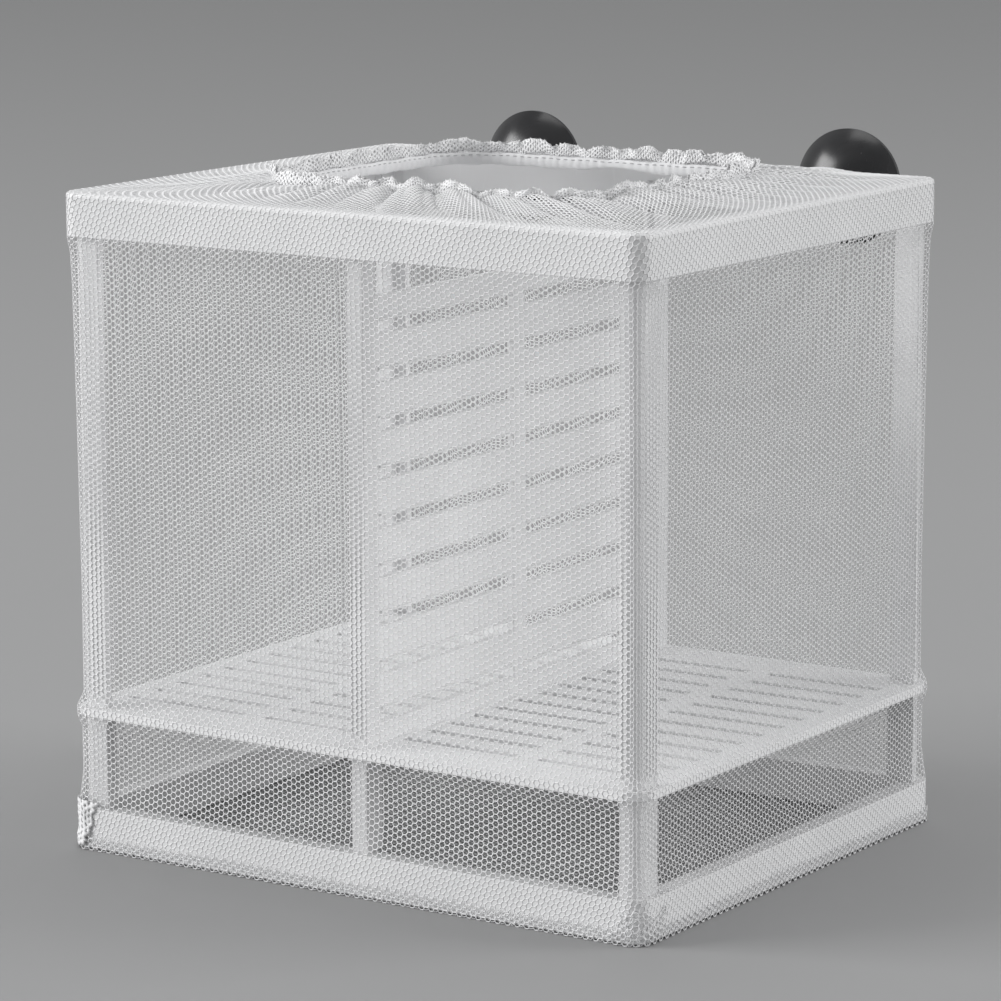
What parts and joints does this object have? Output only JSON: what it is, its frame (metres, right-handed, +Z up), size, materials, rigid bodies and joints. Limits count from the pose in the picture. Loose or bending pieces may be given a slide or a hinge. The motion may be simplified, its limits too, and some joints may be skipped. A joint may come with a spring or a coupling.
{
  "type": "fish breeding box",
  "caption": "Rectangular fine-net breeding box on a snap-together white plastic frame, with a slotted shelf, a lift-out slotted divider and suction cups.",
  "frame": {"origin": "middle of the box on the surface it stands on, under the net", "axes": "+X to the right along the long side, +Y to the back towards the tank glass and the suction cups, +Z up"},
  "size_m": [0.1528, 0.1391, 0.1583],
  "materials": {
    "frame_plastic": "satin moulded white plastic",
    "panel_plastic": "satin moulded white plastic, slightly cooler",
    "cup_rubber": "glossy black soft vinyl",
    "net": "white nylon hexagon net",
    "elastic": "white covered elastic"
  },
  "bodies": {
    "root": {"top_frame": "frame_plastic", "bottom_frame": "frame_plastic", "corner_post_front_left": "frame_plastic", "corner_post_front_right": "frame_plastic", "corner_post_back_right": "frame_plastic", "corner_post_back_left": "frame_plastic", "mid_rail_front": "frame_plastic", "mid_rail_back": "frame_plastic", "floor_shelf": "panel_plastic", "bag_wall_front": "net", "bag_wall_right": "net", "bag_wall_back": "net", "bag_wall_left": "net", "bag_floor": "net", "bag_collar": "net", "hem_elastic": "elastic"},
    "divider": {"divider_panel": "panel_plastic"},
    "cup_left": {"suction_cup_left": "cup_rubber"},
    "cup_right": {"suction_cup_right": "cup_rubber"}
  },
  "joints": [
    {"name": "divider_lift", "type": "slide", "parent": "root", "child": "divider", "axis": [0, 0, 1], "range_m": [0, 0.018]},
    {"name": "cup_left_turn", "type": "hinge", "parent": "root", "child": "cup_left", "pos_m": [-0.04065, 0, 0.14475], "axis": [0, 1, 0], "continuous": true},
    {"name": "cup_right_turn", "type": "hinge", "parent": "root", "child": "cup_right", "pos_m": [0.04665, 0, 0.14475], "axis": [0, 1, 0], "continuous": true}
  ]
}
